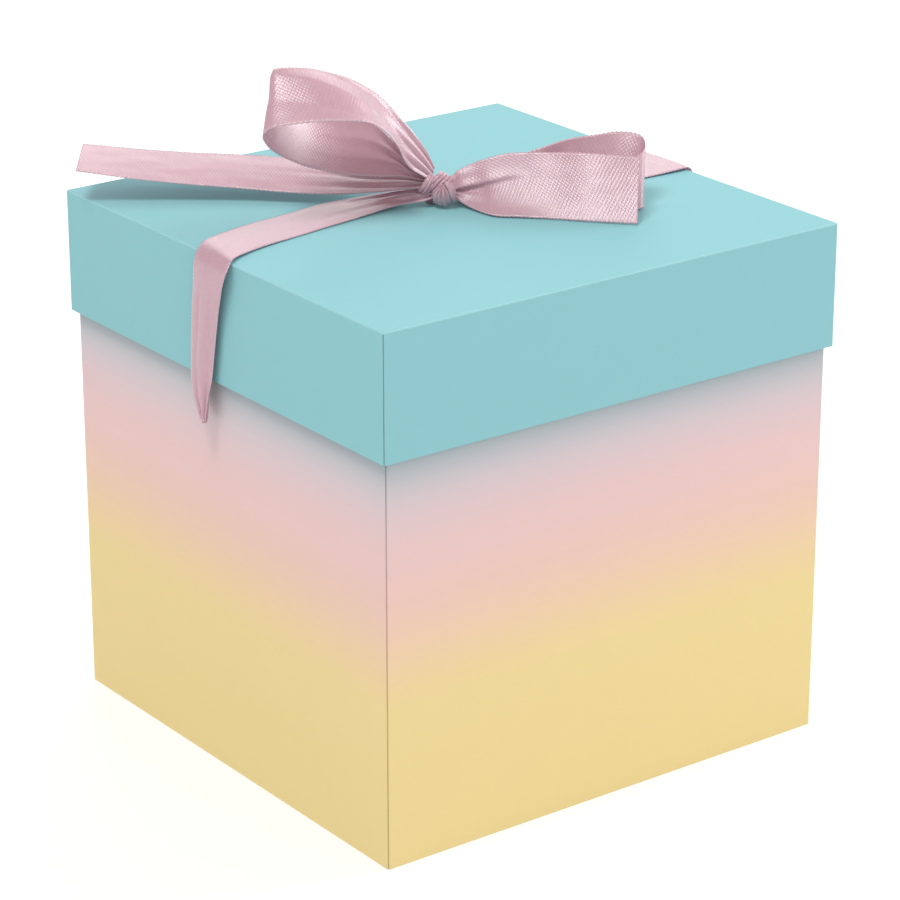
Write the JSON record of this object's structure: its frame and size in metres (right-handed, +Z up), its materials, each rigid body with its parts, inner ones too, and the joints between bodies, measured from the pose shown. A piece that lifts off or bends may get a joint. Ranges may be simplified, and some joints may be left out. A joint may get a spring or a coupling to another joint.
{
  "type": "flower box",
  "caption": "Square rigid gift and flower box: a lined paper-covered tray with a lift-off lid, tied on top with a satin ribbon bow whose tails lie over the lid.",
  "frame": {"origin": "bottom centre of the tray, on the face it stands on", "axes": "+Z up; -Y front, -X left side; the drape ribbon runs along X"},
  "size_m": [0.1589, 0.1568, 0.196],
  "materials": {
    "greyboard": "matt grey pulp board",
    "stay_tape": "matt kraft gummed paper",
    "printed_wrap_paper": "matt coated paper, printed in a soft gradient",
    "turquoise_wrap_paper": "matt coated paper",
    "white_lining_paper": "matt uncoated paper",
    "satin_ribbon": "woven satin, soft gloss"
  },
  "bodies": {
    "tray": {"tray_base_panel": "greyboard", "tray_wall_front": "greyboard", "tray_wall_back": "greyboard", "tray_wall_left": "greyboard", "tray_wall_right": "greyboard", "tray_corner_stays": "stay_tape", "tray_wrap": "printed_wrap_paper", "tray_wall_lining": "white_lining_paper", "tray_floor_lining": "white_lining_paper", "tray_base_paper": "white_lining_paper"},
    "lid": {"lid_top_panel": "greyboard", "lid_flange_front": "greyboard", "lid_flange_back": "greyboard", "lid_flange_left": "greyboard", "lid_flange_right": "greyboard", "lid_corner_stays": "stay_tape", "lid_wrap": "turquoise_wrap_paper", "lid_top_lining": "white_lining_paper", "ribbon_anchor": "satin_ribbon", "bow_knot": "satin_ribbon", "bow_loop_left": "satin_ribbon", "bow_loop_right": "satin_ribbon", "bow_tail_left": "satin_ribbon", "bow_tail_right": "satin_ribbon", "drape_tail_left": "satin_ribbon", "drape_tail_right": "satin_ribbon"}
  },
  "joints": [
    {"name": "lid_lift", "type": "slide", "parent": "tray", "child": "lid", "axis": [0, 0, 1], "range_m": [0, 0.1]}
  ]
}
